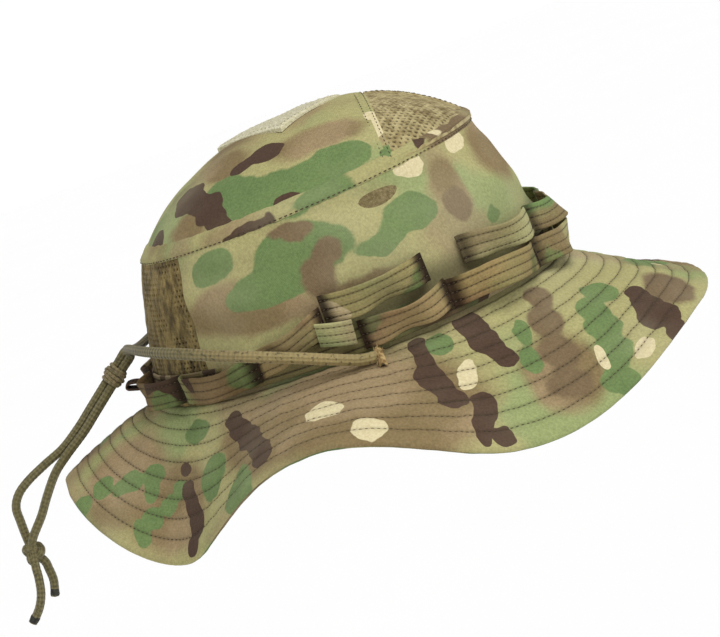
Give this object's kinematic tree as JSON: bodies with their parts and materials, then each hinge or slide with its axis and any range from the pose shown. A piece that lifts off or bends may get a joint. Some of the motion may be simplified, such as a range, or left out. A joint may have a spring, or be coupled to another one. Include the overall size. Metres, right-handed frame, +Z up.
{
  "type": "boonie hat",
  "caption": "Soft boonie sun hat with a vented two-tier crown, wavy stitched brim, foliage tape loops and a chin cord with a slider bead.",
  "frame": {"origin": "centre of the head opening, in the plane where the crown and brim are sewn together", "axes": "+Z up out of the crown, +X to the hat's front, -Y to the wearer's right"},
  "size_m": [0.3678, 0.292, 0.1937],
  "materials": {
    "camouflage_cloth": "matte ripstop camouflage print in khaki, green, tan and brown",
    "brim_cloth": "matte camouflage print, quilted with dark stitch rows",
    "brim_underside": "matte camouflage print, stitch rows showing through",
    "interlining": "stiff non-woven, hidden between the brim's plies",
    "vent_mesh": "coyote perforated knit mesh",
    "foliage_tape": "printed cloth tape with three lines of dark stitching",
    "loop_patch": "pale fuzzy loop pile",
    "sweatband_cloth": "soft brushed coyote band",
    "braided_cord": "tight olive braid with a faint sheen",
    "slider_bead": "tightly wound cord bead",
    "thread": "frayed polyester thread"
  },
  "bodies": {
    "hat": {"crown_side_panel": "camouflage_cloth", "rear_mesh_panel": "vent_mesh", "crown_top_rear": "camouflage_cloth", "top_mesh_right": "vent_mesh", "top_mesh_left": "vent_mesh", "top_centre_tape": "foliage_tape", "top_loop_patch": "loop_patch", "crown_seam_tape": "foliage_tape", "sweatband": "sweatband_cloth", "brim_upper": "brim_cloth", "brim_interlining": "interlining", "brim_lower": "brim_underside", "foliage_base_tape": "foliage_tape", "foliage_loop_front_low_1_right": "foliage_tape", "foliage_loop_front_low_2_right": "foliage_tape", "foliage_loop_front_high_1_right": "foliage_tape", "foliage_loop_front_high_2_right": "foliage_tape", "foliage_loop_side_low_right": "foliage_tape", "foliage_loop_side_high_right": "foliage_tape", "foliage_loop_side_bow_right": "foliage_tape", "foliage_loop_rear_low_1_right": "foliage_tape", "foliage_loop_rear_low_2_right": "foliage_tape", "foliage_loop_front_low_1_left": "foliage_tape", "foliage_loop_front_low_2_left": "foliage_tape", "foliage_loop_front_high_1_left": "foliage_tape", "foliage_loop_front_high_2_left": "foliage_tape", "foliage_loop_side_low_left": "foliage_tape", "foliage_loop_side_high_left": "foliage_tape", "foliage_loop_side_bow_left": "foliage_tape", "foliage_loop_rear_low_1_left": "foliage_tape", "foliage_loop_rear_low_2_left": "foliage_tape", "rear_keeper_loop": "foliage_tape", "cord_bartack_right": "thread", "cord_bartack_left": "thread", "chin_cord_right": "braided_cord", "chin_cord_left": "braided_cord", "cord_tail_right": "braided_cord", "cord_tail_left": "braided_cord", "cord_knot": "braided_cord"},
    "slider": {"cord_slider": "slider_bead"}
  },
  "joints": [
    {"name": "cord_slide", "type": "slide", "parent": "hat", "child": "slider", "axis": [-0.794, 0, -0.6079], "range_m": [0, 0.026]}
  ]
}
